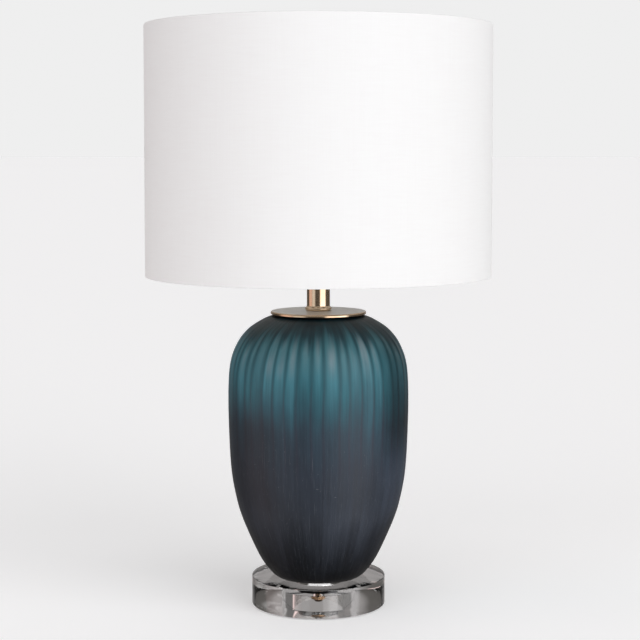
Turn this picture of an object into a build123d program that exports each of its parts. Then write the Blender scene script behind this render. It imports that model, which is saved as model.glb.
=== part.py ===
"""Table lamp with shade: a cut-glass body on a clear acrylic disc, held together by one threaded
lamp pipe, with a brass neck, a switched bulb socket, a detachable harp and a drum shade.

Units are millimetres. The origin is the centre of the footprint on the table, +Z is up, and -Y is
the front. Each section makes one piece of the lamp, from the table upwards.
"""

import os
from math import cos, hypot, radians, sin

from build123d import *

# ---------------------------------------------------------------- driving dimensions
shade_radius = 203.0
shade_height = 292.3
base_radius = 78.7
base_height = 33.0
glass_height = 311.3
cap_radius = 56.3
neck_radius = 13.65
neck_height = 48.6
pipe_radius = 4.9
pad_height = 1.5
gasket = 0.8
slip = 0.1  # radial clearance of a hole over the pipe
clearance = 0.3  # between faces of pieces that come apart
wire_radius = 1.6  # rings and arms of the shade

# ---------------------------------------------------------------- heights up the stack
base_z = pad_height
base_top = base_z + base_height
glass_z = base_top + gasket
glass_top = glass_z + glass_height
cap_under = glass_top + gasket
neck_z = cap_under + 1.6
neck_top = neck_z + neck_height
locknut_z = neck_top + 1.0
saddle_z = locknut_z + 4.0
saddle_thickness = 1.5
socket_z = saddle_z + saddle_thickness
shade_z = 389.9
shade_top = shade_z + shade_height
hub_z = shade_top - 14.1  # the shade's hub sits half an inch down inside the top ring

# ---------------------------------------------------------------- foot pads
pad_radius = 5.0
pad_circle = 64.0

with BuildPart() as foot_pads:
    with BuildSketch(Plane.XY):
        with PolarLocations(pad_circle, 4, start_angle=45):
            Circle(pad_radius)
    extrude(amount=pad_height)
    fillet(foot_pads.edges().group_by(Axis.Z)[0], radius=0.4)
foot_pads.part.label = "foot_pads"

# ---------------------------------------------------------------- acrylic base
recess_radius = 28.5
recess_depth = 16.5
recess_roof = base_z + recess_depth
outlet_z = base_z + 8.2  # height of the cord's way out of the back
outlet_radius = 5.0

with BuildPart() as acrylic_base:
    with BuildSketch(Plane.XY.offset(base_z)):
        Circle(base_radius)
    extrude(amount=base_height)
    rim_edges = acrylic_base.edges().filter_by(GeomType.CIRCLE)
    chamfer(rim_edges, length=0.9)
    with BuildSketch(Plane.XY.offset(base_z)):
        Circle(recess_radius)
    extrude(amount=recess_depth, mode=Mode.SUBTRACT)
    with BuildSketch(Plane.XY.offset(base_z)):
        Circle(pipe_radius + 0.4)
    extrude(amount=base_height, mode=Mode.SUBTRACT)
    with BuildSketch(Plane.XZ):
        with Locations((0, outlet_z)):
            Circle(outlet_radius)
    extrude(amount=-(base_radius + 1), mode=Mode.SUBTRACT)
acrylic_base.part.label = "acrylic_base"

# ---------------------------------------------------------------- cord bushing
bushing_bore = 3.2
bushing_length = 12.0
bushing_flange = 1.4
bushing_flange_radius = 7.0
bushing_face = base_radius + bushing_flange

with BuildPart() as cord_bushing:
    with BuildSketch(Plane.XZ.offset(-bushing_face)):
        with Locations((0, outlet_z)):
            Circle(bushing_flange_radius)
    extrude(amount=bushing_flange)
    with BuildSketch(Plane.XZ.offset(-base_radius)):
        with Locations((0, outlet_z)):
            Circle(outlet_radius - 0.05)
    extrude(amount=bushing_length - bushing_flange)
    fillet(cord_bushing.edges().group_by(Axis.Y)[-1], radius=0.6)
    with BuildSketch(Plane.XZ.offset(-bushing_face)):
        with Locations((0, outlet_z)):
            Circle(bushing_bore)
    extrude(amount=bushing_length, mode=Mode.SUBTRACT)
cord_bushing.part.label = "cord_bushing"

# ---------------------------------------------------------------- clamp stack under the base
washer_height = 2.0
washer_radius = 17.0
washer_z = recess_roof - washer_height
lock_washer_height = 1.8
lock_washer_radius = 8.4
lock_washer_z = washer_z - lock_washer_height
nut_height = 5.0
nut_z = lock_washer_z - nut_height
nut_circumradius = 9.2

with BuildPart() as clamp_washer:
    with BuildSketch(Plane.XY.offset(washer_z)):
        Circle(washer_radius)
        Circle(pipe_radius + slip, mode=Mode.SUBTRACT)
    extrude(amount=washer_height)
    washer_edges = clamp_washer.edges().filter_by(GeomType.CIRCLE)
    fillet(washer_edges.sort_by(SortBy.RADIUS)[-2:], radius=0.5)
clamp_washer.part.label = "clamp_washer"

with BuildPart() as lock_washer:
    with BuildSketch(Plane.XY.offset(lock_washer_z)):
        Circle(lock_washer_radius)
        Circle(pipe_radius + slip, mode=Mode.SUBTRACT)
        with Locations((7.0, 0)):
            Rectangle(5.0, 1.4, rotation=20, mode=Mode.SUBTRACT)  # the split of the spring washer
    extrude(amount=lock_washer_height)
lock_washer.part.label = "lock_washer"

with BuildPart() as bottom_nut:
    with BuildSketch(Plane.XY.offset(nut_z)):
        RegularPolygon(nut_circumradius, 6)
        Circle(pipe_radius + 0.05, mode=Mode.SUBTRACT)
    extrude(amount=nut_height)
bottom_nut.part.label = "bottom_nut"

# ---------------------------------------------------------------- lamp pipe
pipe_z = nut_z - 2.4
pipe_top = socket_z + 9.0
pipe_bore = 3.5

with BuildPart() as lamp_pipe:
    with BuildSketch(Plane.XY.offset(pipe_z)):
        Circle(pipe_radius)
        Circle(pipe_bore, mode=Mode.SUBTRACT)
    extrude(amount=pipe_top - pipe_z)
    pipe_ends = lamp_pipe.edges().filter_by(GeomType.CIRCLE)
    chamfer(pipe_ends.sort_by(SortBy.RADIUS)[-2:], length=0.6)
lamp_pipe.part.label = "lamp_pipe"

# ---------------------------------------------------------------- foot gasket
with BuildPart() as foot_gasket:
    with BuildSketch(Plane.XY.offset(base_top)):
        Circle(44.0)
        Circle(34.0, mode=Mode.SUBTRACT)
    extrude(amount=gasket)
foot_gasket.part.label = "foot_gasket"

# ---------------------------------------------------------------- glass body
glass_wall = 5.0
glass_floor = 9.0
foot_hole = 8.0
mouth_bore = 38.0
# Radius and height of the outside, from the foot to the mouth, heights above the foot.
glass_outline = [
    (50.6, 0.0),
    (58.0, 6.5),
    (70.9, 25.5),
    (89.4, 66.9),
    (98.0, 96.6),
    (103.5, 132.1),
    (106.1, 190.0),
    (105.9, 231.0),
    (103.0, 256.5),
    (95.0, 276.7),
    (82.5, 292.1),
    (66.4, 302.8),
    (53.0, 308.2),
    (43.0, glass_height),
]


def inset(outline, wall):
    """Each inner point of an outline, moved square to the line between its neighbours, inwards."""
    moved = []
    for before, here, after in zip(outline, outline[1:], outline[2:]):
        along_r, along_z = after[0] - before[0], after[1] - before[1]
        length = hypot(along_r, along_z)
        moved.append((here[0] - wall * along_z / length, here[1] + wall * along_r / length))
    return moved


glass_inside = [(46.0, glass_floor), *inset(glass_outline, glass_wall)[1:], (mouth_bore, glass_height - 4.0)]

with BuildPart() as glass_body:
    with BuildSketch(Plane.XZ.shift_origin((0, 0, glass_z))):
        with BuildLine():
            outside = Spline(*glass_outline)
            inside = Spline(*glass_inside)
            Polyline(outside @ 1, (mouth_bore, glass_height), inside @ 1)
            Polyline(inside @ 0, (foot_hole, glass_floor), (foot_hole, 0), outside @ 0)
        make_face()
    revolve(axis=Axis.Z)
glass_body.part.label = "glass_body"

# ---------------------------------------------------------------- foot grommet
with BuildPart() as foot_grommet:
    with BuildSketch(Plane.XY.offset(glass_z)):
        Circle(foot_hole - 0.1)
        Circle(pipe_radius + slip, mode=Mode.SUBTRACT)
    extrude(amount=glass_floor)
    with BuildSketch(Plane.XY.offset(glass_z + glass_floor)):
        Circle(foot_hole + 4.0)
        Circle(pipe_radius + slip, mode=Mode.SUBTRACT)
    extrude(amount=2.0)
foot_grommet.part.label = "foot_grommet"

# ---------------------------------------------------------------- mouth gasket and locator
with BuildPart() as mouth_gasket:
    with BuildSketch(Plane.XY.offset(glass_top)):
        Circle(42.6)
        Circle(38.4, mode=Mode.SUBTRACT)
    extrude(amount=gasket)
mouth_gasket.part.label = "mouth_gasket"

locator_height = 7.0

with BuildPart() as mouth_locator:
    with BuildSketch(Plane.XY.offset(cap_under - locator_height)):
        Circle(mouth_bore - 0.3)
        Circle(pipe_radius + slip, mode=Mode.SUBTRACT)
    extrude(amount=locator_height)
    with BuildSketch(Plane.XY.offset(cap_under - locator_height)):
        Circle(mouth_bore - 4.0)
        Circle(pipe_radius + 5.0, mode=Mode.SUBTRACT)
    extrude(amount=locator_height - 2.5, mode=Mode.SUBTRACT)
mouth_locator.part.label = "mouth_locator"

# ---------------------------------------------------------------- vase cap
cap_skirt_z = cap_under - 2.2
cap_edge = 2.3  # radius of the rolled edge
cap_wall = 1.3
cap_shoulder_z = neck_z - 0.6

with BuildPart() as vase_cap:
    with BuildSketch(Plane.XZ):
        with BuildLine():
            shoulder = (cap_radius - cap_edge, cap_shoulder_z)
            dome = ThreePointArc((pipe_radius + slip, neck_z), (32.0, neck_z - 0.2), shoulder)
            roll = RadiusArc(shoulder, (cap_radius, cap_shoulder_z - cap_edge), cap_edge)
            Polyline(
                roll @ 1,
                (cap_radius, cap_skirt_z + 0.8),
                (cap_radius - 0.8, cap_skirt_z),
                (cap_radius - cap_wall, cap_skirt_z),
                (cap_radius - cap_wall, cap_under - 0.6),
                (cap_radius - cap_wall - 0.6, cap_under),
                (pipe_radius + slip, cap_under),
                dome @ 0,
            )
        make_face()
    revolve(axis=Axis.Z)
vase_cap.part.label = "vase_cap"

# ---------------------------------------------------------------- neck
neck_wall = 1.2
foot_radius = 15.9  # the rolled bead that the neck stands on
foot_height = 5.4

with BuildPart() as neck_tube:
    with BuildSketch(Plane.XZ):
        with BuildLine():
            bead = ThreePointArc(
                (neck_radius + 0.7, neck_z),
                (foot_radius, neck_z + foot_height / 2),
                (neck_radius, neck_z + foot_height),
            )
            Polyline(
                bead @ 1,
                (neck_radius, neck_top),
                (neck_radius - neck_wall, neck_top),
                (neck_radius - neck_wall, neck_z),
                bead @ 0,
            )
        make_face()
    revolve(axis=Axis.Z)
neck_tube.part.label = "neck_tube"

with BuildPart() as neck_bush:
    with BuildSketch(Plane.XY.offset(neck_top - 4.0)):
        Circle(neck_radius - neck_wall - 0.05)
        Circle(pipe_radius + slip, mode=Mode.SUBTRACT)
    extrude(amount=4.0)
    with BuildSketch(Plane.XY.offset(neck_top)):
        Circle(neck_radius)
        Circle(pipe_radius + slip, mode=Mode.SUBTRACT)
    extrude(amount=1.0)
    bush_rim = neck_bush.edges().group_by(Axis.Z)[-1].sort_by(SortBy.RADIUS)[-1]
    fillet(bush_rim, radius=0.5)
neck_bush.part.label = "neck_bush"

with BuildPart() as top_locknut:
    with BuildSketch(Plane.XY.offset(locknut_z)):
        RegularPolygon(8.1, 6)
        Circle(pipe_radius + 0.05, mode=Mode.SUBTRACT)
    extrude(amount=4.0)
top_locknut.part.label = "top_locknut"

# ---------------------------------------------------------------- harp saddle
saddle_width = 12.0
saddle_rise = 6.0
saddle_reach = 35.0
leg_x = 30.0  # the harp's legs stand here on the saddle
leg_radius = 2.4
leg_seat = saddle_z + saddle_rise + saddle_thickness
prong_thickness = 1.5
prong_width = 4.2
prong_height = 12.0
prong_x = leg_x - leg_radius - clearance - prong_thickness / 2

with BuildPart() as harp_saddle:
    with BuildSketch(Plane.XZ):
        with BuildLine():
            strip = Polyline(
                (-saddle_reach, saddle_z + saddle_rise),
                (-22.0, saddle_z + saddle_rise),
                (-17.0, saddle_z),
                (17.0, saddle_z),
                (22.0, saddle_z + saddle_rise),
                (saddle_reach, saddle_z + saddle_rise),
            )
            raised = strip.moved(Location((0, saddle_thickness, 0)))
            add(raised)
            Line(strip @ 0, raised @ 0)
            Line(strip @ 1, raised @ 1)
        make_face()
    extrude(amount=saddle_width / 2, both=True)
    corner_edges = harp_saddle.edges().filter_by(Axis.Z).group_by(SortBy.DISTANCE)[-1]
    fillet(corner_edges, radius=4.5)
    with BuildSketch(Plane.XY.offset(leg_seat - 0.5)):
        with Locations((-prong_x, 0), (prong_x, 0)):
            Rectangle(prong_thickness, prong_width)
    extrude(amount=prong_height + 0.5)
    with BuildSketch(Plane.XY.offset(saddle_z)):
        Circle(pipe_radius + 0.2)
    extrude(amount=saddle_thickness, mode=Mode.SUBTRACT)
harp_saddle.part.label = "harp_saddle"

# ---------------------------------------------------------------- socket cap and set screw
socket_boss = 8.5
socket_cap_radius = 16.9
socket_cap_top = socket_z + 20.0
set_screw_z = socket_z + 3.4

with BuildPart() as socket_cap:
    with BuildSketch(Plane.XZ):
        with BuildLine():
            Polyline(
                (pipe_radius + 0.05, socket_z),
                (socket_boss, socket_z),
                (socket_boss, socket_z + 7.0),
                (socket_cap_radius, socket_z + 13.5),
                (socket_cap_radius, socket_cap_top),
                (socket_cap_radius - 0.6, socket_cap_top),
                (socket_cap_radius - 0.6, socket_z + 14.0),
                (socket_boss, socket_z + 9.0),
                (pipe_radius + 0.05, socket_z + 9.0),
                close=True,
            )
        make_face()
    revolve(axis=Axis.Z)
    with BuildSketch(Plane.YZ.offset(pipe_radius)):
        with Locations((0, set_screw_z)):
            Circle(1.6)
    extrude(amount=socket_boss, mode=Mode.SUBTRACT)
socket_cap.part.label = "socket_cap"

with BuildPart() as set_screw:
    with BuildSketch(Plane.YZ.offset(pipe_radius + 0.2)):
        with Locations((0, set_screw_z)):
            Circle(1.5)
    extrude(amount=5.0)
    with BuildSketch(Plane.YZ.offset(pipe_radius + 4.4)):
        with Locations((0, set_screw_z)):
            Rectangle(3.2, 0.5)
    extrude(amount=1.0, mode=Mode.SUBTRACT)
set_screw.part.label = "set_screw"

# ---------------------------------------------------------------- socket shell and its lining
shell_radius = 16.1
shell_wall = 0.5
shell_z = socket_z + 15.0
shell_top = socket_z + 66.0
switch_z = socket_z + 33.0  # height of the switch spindle
switch_hole = 3.2
shell_bead = 0.8  # the rolled bead under the shell's mouth stands out this far

with BuildPart() as socket_shell:
    with BuildSketch(Plane.XZ):
        with BuildLine():
            Polyline(
                (shell_radius - shell_wall, shell_z),
                (shell_radius, shell_z),
                (shell_radius, shell_top - 5.0),
                (shell_radius + shell_bead, shell_top - 3.5),
                (shell_radius + shell_bead, shell_top - 2.0),
                (shell_radius, shell_top - 0.5),
                (shell_radius, shell_top),
                (shell_radius - shell_wall, shell_top),
                close=True,
            )
        make_face()
    revolve(axis=Axis.Z)
    with BuildSketch(Plane.XZ):
        with Locations((0, switch_z)):
            Circle(switch_hole)
    extrude(amount=shell_radius + 1, mode=Mode.SUBTRACT)
socket_shell.part.label = "socket_shell"

lining_radius = shell_radius - shell_wall - 0.1
lining_wall = 0.7

with BuildPart() as insulating_sleeve:
    with BuildSketch(Plane.XY.offset(socket_cap_top + 1.0)):
        Circle(lining_radius)
        Circle(lining_radius - lining_wall, mode=Mode.SUBTRACT)
    extrude(amount=shell_top - socket_cap_top - 3.5)
    with BuildSketch(Plane.XZ):
        with Locations((0, switch_z)):
            Circle(switch_hole)
    extrude(amount=shell_radius, mode=Mode.SUBTRACT)
insulating_sleeve.part.label = "insulating_sleeve"

# ---------------------------------------------------------------- socket insulator and terminals
insulator_radius = 14.5
insulator_z = socket_cap_top + 1.5
insulator_top = socket_z + 40.5
flat_x = 11.5
terminal_z = socket_z + 28.0

with BuildPart() as socket_insulator:
    with BuildSketch(Plane.XY.offset(insulator_z)):
        Circle(insulator_radius)
    extrude(amount=insulator_top - insulator_z)
    with BuildSketch(Plane.XY.offset(insulator_z)):
        with Locations((-flat_x - 5.0, 0), (flat_x + 5.0, 0)):
            Rectangle(10.0, 2 * insulator_radius)
    extrude(amount=12.0, mode=Mode.SUBTRACT)
    with BuildSketch(Plane.YZ.offset(-flat_x)):
        with Locations((0, terminal_z)):
            Circle(1.8)
    extrude(amount=2 * flat_x, mode=Mode.SUBTRACT)
    with BuildSketch(Plane.XZ.offset(4.0)):
        with Locations((0, switch_z)):
            Circle(2.6)
    extrude(amount=insulator_radius, mode=Mode.SUBTRACT)
socket_insulator.part.label = "socket_insulator"

with BuildPart() as terminal_screws:
    for side in (-1, 1):
        with BuildSketch(Plane.YZ.offset(side * 6.0)):
            with Locations((0, terminal_z)):
                Circle(1.7)
        extrude(amount=side * (flat_x - 6.0))
        with BuildSketch(Plane.YZ.offset(side * flat_x)):
            with Locations((0, terminal_z)):
                Circle(2.8)
        extrude(amount=side * 1.7)
terminal_screws.part.label = "terminal_screws"

# ---------------------------------------------------------------- screw shell and centre contact
thread_radius = 13.3
screw_shell_z = insulator_top
screw_shell_height = 22.0

with BuildPart() as screw_shell:
    with BuildSketch(Plane.XY.offset(screw_shell_z)):
        Circle(thread_radius + 0.4)
        Circle(thread_radius, mode=Mode.SUBTRACT)
    extrude(amount=screw_shell_height)
    with BuildSketch(Plane.XY.offset(screw_shell_z)):
        Circle(thread_radius + 0.4)
        Circle(8.0, mode=Mode.SUBTRACT)
    extrude(amount=0.5)
screw_shell.part.label = "screw_shell"

contact_top = insulator_top + 1.9

with BuildPart() as centre_contact:
    with BuildSketch(Plane.XZ):
        with BuildLine():
            Polyline(
                (-5.0, insulator_top),
                (-1.0, insulator_top),
                (2.0, contact_top - 0.5),
                (5.0, contact_top - 0.5),
                (5.0, contact_top),
                (1.6, contact_top),
                (-1.3, insulator_top + 0.5),
                (-5.0, insulator_top + 0.5),
                close=True,
            )
        make_face()
    extrude(amount=2.0, both=True)
centre_contact.part.label = "centre_contact"

# ---------------------------------------------------------------- switch spindle and knob
spindle_radius = 2.2
spindle_start = 4.6
knob_start = 19.0
knob_length = 16.0
knob_radius = 4.6

with BuildPart() as switch_spindle:
    with BuildSketch(Plane.XZ.offset(spindle_start)):
        with Locations((0, switch_z)):
            Circle(spindle_radius)
    extrude(amount=knob_start + 8.0 - spindle_start)
switch_spindle.part.label = "switch_spindle"

with BuildPart() as switch_knob:
    with BuildSketch(Plane.XZ.offset(knob_start)):
        with Locations((0, switch_z)):
            Circle(knob_radius)
            with PolarLocations(knob_radius + 0.7, 8):
                Circle(1.3, mode=Mode.SUBTRACT)
    extrude(amount=knob_length, taper=3)
    with BuildSketch(Plane.XZ.offset(knob_start)):
        with Locations((0, switch_z)):
            Circle(spindle_radius + 0.03)
    extrude(amount=8.1, mode=Mode.SUBTRACT)
switch_knob.part.label = "switch_knob"

# ---------------------------------------------------------------- bulb
bulb_z = contact_top + clearance
bulb_cap_radius = 13.0
bulb_insulator_z = bulb_z + 1.0
bulb_cap_z = bulb_z + 3.6
bulb_neck_z = bulb_z + 25.0
bulb_height = 108.0
bulb_radius = 30.0
bulb_wall = 0.9

with BuildPart() as bulb_contact:
    with BuildSketch(Plane.XY.offset(bulb_z)):
        Circle(4.6)
    extrude(amount=1.0)
    fillet(bulb_contact.edges().group_by(Axis.Z)[0], radius=0.6)
bulb_contact.part.label = "bulb_contact"

with BuildPart() as bulb_insulator:
    with BuildSketch(Plane.XY.offset(bulb_insulator_z)):
        Circle(5.6)
    with BuildSketch(Plane.XY.offset(bulb_cap_z)):
        Circle(11.2)
    loft()
bulb_insulator.part.label = "bulb_insulator"

with BuildPart() as bulb_cap:
    with BuildSketch(Plane.XY.offset(bulb_cap_z)):
        Circle(bulb_cap_radius)
    extrude(amount=bulb_neck_z - bulb_cap_z)
    with BuildSketch(Plane.XY.offset(bulb_cap_z + 1.0)):
        Circle(bulb_cap_radius - 0.5)
    extrude(amount=bulb_neck_z - bulb_cap_z, mode=Mode.SUBTRACT)
    chamfer(bulb_cap.edges().group_by(Axis.Z)[0], length=0.9)
bulb_cap.part.label = "bulb_cap"

with BuildPart() as bulb_globe:
    with BuildSketch(Plane.XZ):
        with BuildLine():
            crown = bulb_z + bulb_height
            glass = Spline(
                (13.4, bulb_neck_z),
                (15.2, bulb_neck_z + 10.0),
                (25.5, bulb_neck_z + 32.0),
                (bulb_radius, crown - bulb_radius),
                (21.2, crown - 8.8),
                (0, crown),
                tangents=[(0, 1), (-1, 0)],
            )
            lining = Spline(
                (13.4 - bulb_wall, bulb_neck_z),
                (15.2 - bulb_wall, bulb_neck_z + 10.2),
                (25.5 - bulb_wall, bulb_neck_z + 32.4),
                (bulb_radius - bulb_wall, crown - bulb_radius),
                (20.6, crown - 9.4),
                (0, crown - bulb_wall),
                tangents=[(0, 1), (-1, 0)],
            )
            Line(glass @ 0, lining @ 0)
            Line(glass @ 1, lining @ 1)
        make_face()
    revolve(axis=Axis.Z)
bulb_globe.part.label = "bulb_globe"

# ---------------------------------------------------------------- harp
harp_z = leg_seat + clearance
harp_bow_z = hub_z - 5.2  # centre of the wire across the top
harp_width = 57.0
eye_radius = 7.0
stud_radius = 3.1

with BuildPart() as harp_frame:
    with BuildLine(Plane.XZ):
        harp_corners = [
            (leg_x, harp_z),
            (leg_x, harp_z + 44.0),
            (harp_width, harp_z + 95.0),
            (harp_width, harp_bow_z - 78.0),
            (20.0, harp_bow_z),
            (-20.0, harp_bow_z),
            (-harp_width, harp_bow_z - 78.0),
            (-harp_width, harp_z + 95.0),
            (-leg_x, harp_z + 44.0),
            (-leg_x, harp_z),
        ]
        FilletPolyline(*harp_corners, radius=[40, 60, 70, 14, 14, 70, 60, 40])
    with BuildSketch(Plane.XY.offset(harp_z)):
        with Locations((leg_x, 0)):
            Circle(leg_radius)
    sweep()
    with BuildSketch(Plane.XY.offset(harp_bow_z - leg_radius)):
        Circle(eye_radius)
    extrude(amount=2 * leg_radius)
    with BuildSketch(Plane.XY.offset(harp_bow_z - leg_radius - 1)):
        Circle(stud_radius + 0.05)
    extrude(amount=2 * leg_radius + 2, mode=Mode.SUBTRACT)
harp_frame.part.label = "harp_frame"

# ---------------------------------------------------------------- harp stud
stud_collar_z = harp_bow_z + leg_radius
stud_seat = hub_z - clearance

with BuildPart() as harp_stud:
    with BuildSketch(Plane.XY.offset(harp_bow_z - leg_radius)):
        Circle(stud_radius)
    extrude(amount=hub_z + 14.0 - harp_bow_z + leg_radius)
    chamfer(harp_stud.edges().group_by(Axis.Z)[-1], length=0.6)
    with BuildSketch(Plane.XY.offset(stud_collar_z)):
        Circle(9.0)
    extrude(amount=stud_seat - stud_collar_z)
    with BuildSketch(Plane.XY.offset(harp_bow_z - leg_radius - 1.4)):
        Circle(4.8)
    extrude(amount=1.4)
harp_stud.part.label = "harp_stud"

# ---------------------------------------------------------------- harp sleeves
sleeve_x = leg_x - 1.0
sleeve_height = 15.0
sleeve_bore = 4.3
sleeve_radius = 5.0
sleeves = {}
for sleeve_name, side in (("harp_sleeve_left", -1), ("harp_sleeve_right", 1)):
    with BuildPart() as sleeve:
        with BuildSketch(Plane.XY.offset(leg_seat + clearance)):
            with Locations((side * sleeve_x, 0)):
                Circle(sleeve_radius)
                Circle(sleeve_bore, mode=Mode.SUBTRACT)
        extrude(amount=sleeve_height)
        sleeve_ends = sleeve.edges().filter_by(GeomType.CIRCLE)
        fillet(sleeve_ends.sort_by(SortBy.RADIUS)[-2:], radius=0.3)
    sleeve.part.label = sleeve_name
    sleeves[sleeve_name] = sleeve

# ---------------------------------------------------------------- shade: hub, arms and rings
hub_height = 1.6
hub_radius = 14.0
hub_bore = 5.6
arm_z = hub_z + 0.9
liner_radius = shade_radius - 0.55
liner_wall = 0.8
ring_radius = liner_radius - liner_wall - 0.05 - wire_radius
ring_inset = 2.2  # from the shade's edge to the middle of the ring's wire
top_ring_z = shade_top - ring_inset
bottom_ring_z = shade_z + ring_inset

with BuildPart() as spider_hub:
    with BuildSketch(Plane.XY.offset(hub_z)):
        Circle(hub_radius)
        Circle(hub_bore, mode=Mode.SUBTRACT)
    extrude(amount=hub_height)
spider_hub.part.label = "spider_hub"

with BuildPart() as spider_arms:
    for angle in (90, 210, 330):
        outward = Vector(cos(radians(angle)), sin(radians(angle)), 0)
        with BuildLine():
            FilletPolyline(
                outward * 11.0 + Vector(0, 0, arm_z),
                outward * ring_radius + Vector(0, 0, arm_z),
                outward * ring_radius + Vector(0, 0, top_ring_z - 1.0),
                radius=6.0,
            )
        with BuildSketch(Plane(origin=outward * 11.0 + Vector(0, 0, arm_z), z_dir=outward)):
            Circle(wire_radius)
        sweep()
spider_arms.part.label = "spider_arms"

with BuildPart() as shade_top_ring:
    with BuildSketch(Plane.XZ):
        with Locations((ring_radius, top_ring_z)):
            Circle(wire_radius)
    revolve(axis=Axis.Z)
shade_top_ring.part.label = "shade_top_ring"

with BuildPart() as shade_bottom_ring:
    with BuildSketch(Plane.XZ):
        with Locations((ring_radius, bottom_ring_z)):
            Circle(wire_radius)
    revolve(axis=Axis.Z)
shade_bottom_ring.part.label = "shade_bottom_ring"

# ---------------------------------------------------------------- shade: liner and fabric
fabric = 0.5
hem_radius = ring_radius - wire_radius - 0.2 - fabric  # inner face of the turned-in hem
hem_depth = 3.4

with BuildPart() as shade_liner:
    with BuildSketch(Plane.XY.offset(shade_z + fabric + 0.1)):
        Circle(liner_radius)
        Circle(liner_radius - liner_wall, mode=Mode.SUBTRACT)
    extrude(amount=shade_height - 2 * fabric - 0.2)
shade_liner.part.label = "shade_liner"

with BuildPart() as shade_fabric:
    with BuildSketch(Plane.XZ):
        with BuildLine():
            Polyline(
                (hem_radius, shade_z + hem_depth),
                (hem_radius, shade_z),
                (shade_radius, shade_z),
                (shade_radius, shade_top),
                (hem_radius, shade_top),
                (hem_radius, shade_top - hem_depth),
                (hem_radius + fabric, shade_top - hem_depth),
                (hem_radius + fabric, shade_top - fabric),
                (shade_radius - fabric, shade_top - fabric),
                (shade_radius - fabric, shade_z + fabric),
                (hem_radius + fabric, shade_z + fabric),
                (hem_radius + fabric, shade_z + hem_depth),
                close=True,
            )
        make_face()
    revolve(axis=Axis.Z)
shade_fabric.part.label = "shade_fabric"

# ---------------------------------------------------------------- finial
finial_z = hub_z + hub_height + clearance
ball_radius = 7.6
ball_z = finial_z + 14.4
waist_radius = 4.4
waist_z = ball_z - (ball_radius**2 - waist_radius**2) ** 0.5

with BuildPart() as finial:
    with BuildSketch(Plane.XZ):
        with BuildLine():
            Line((0, finial_z), (8.6, finial_z))
            Line((8.6, finial_z), (8.6, finial_z + 1.6))
            Spline(
                (8.6, finial_z + 1.6),
                (5.4, finial_z + 4.0),
                (waist_radius, waist_z),
                tangents=[(-1, 0.2), (0, 1)],
            )
            ThreePointArc((waist_radius, waist_z), (ball_radius, ball_z), (0, ball_z + ball_radius))
            Line((0, ball_z + ball_radius), (0, finial_z))
        make_face()
    revolve(axis=Axis.Z)
    with BuildSketch(Plane.XY.offset(finial_z)):
        Circle(stud_radius + 0.06)
    extrude(amount=15.0, mode=Mode.SUBTRACT)
finial.part.label = "finial"

# ---------------------------------------------------------------- export
pieces = [
    foot_pads,
    acrylic_base,
    cord_bushing,
    clamp_washer,
    lock_washer,
    bottom_nut,
    lamp_pipe,
    foot_gasket,
    glass_body,
    foot_grommet,
    mouth_gasket,
    mouth_locator,
    vase_cap,
    neck_tube,
    neck_bush,
    top_locknut,
    harp_saddle,
    socket_cap,
    set_screw,
    socket_shell,
    insulating_sleeve,
    socket_insulator,
    terminal_screws,
    screw_shell,
    centre_contact,
    switch_spindle,
    switch_knob,
    bulb_contact,
    bulb_insulator,
    bulb_cap,
    bulb_globe,
    harp_frame,
    harp_stud,
    *sleeves.values(),
    spider_hub,
    spider_arms,
    shade_top_ring,
    shade_bottom_ring,
    shade_liner,
    shade_fabric,
    finial,
]
os.makedirs("parts", exist_ok=True)
for piece in pieces:
    export_step(piece.part, f"parts/{piece.part.label}.step")
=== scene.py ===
"""Looks for the table lamp with shade, built up from the table in the order it is put together."""

import bmesh
import bpy
import numpy as np
from mathutils import Matrix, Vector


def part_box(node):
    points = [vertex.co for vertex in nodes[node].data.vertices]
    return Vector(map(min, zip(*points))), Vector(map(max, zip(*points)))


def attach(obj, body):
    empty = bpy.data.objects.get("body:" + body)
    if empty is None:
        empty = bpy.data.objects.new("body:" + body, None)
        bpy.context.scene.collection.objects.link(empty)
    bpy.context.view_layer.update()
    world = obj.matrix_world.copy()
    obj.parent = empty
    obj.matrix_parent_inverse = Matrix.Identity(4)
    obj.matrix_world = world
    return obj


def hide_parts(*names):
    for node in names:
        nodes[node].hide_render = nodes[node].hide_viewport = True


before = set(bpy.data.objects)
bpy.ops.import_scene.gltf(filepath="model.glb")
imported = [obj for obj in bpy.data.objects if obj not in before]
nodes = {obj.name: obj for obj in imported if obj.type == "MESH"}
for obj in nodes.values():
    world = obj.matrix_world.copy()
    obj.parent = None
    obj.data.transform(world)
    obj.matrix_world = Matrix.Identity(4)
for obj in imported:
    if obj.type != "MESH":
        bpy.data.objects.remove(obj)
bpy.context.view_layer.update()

# ---- foot pads
# Four clear silicone bumpers, 10 mm across, stuck under the base disc. Each is a moulded button with a
# soft edge and a slightly hollow top where the adhesive sits. Everything on the lamp stands on them.
mm = 0.001  # shapes are worked out in millimetres, and made into meshes in metres


def levels(node):
    """Where a node's solids start and end in height, in millimetres above the table."""
    return [corner.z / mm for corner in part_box(node)]


def tone(red, green, blue, alpha=1.0):
    """A screen colour, each channel 0 to 255, as linear light: the usual 2.2 power law."""
    return (*((np.array([red, green, blue]) / 255) ** 2.2).tolist(), alpha)


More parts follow.
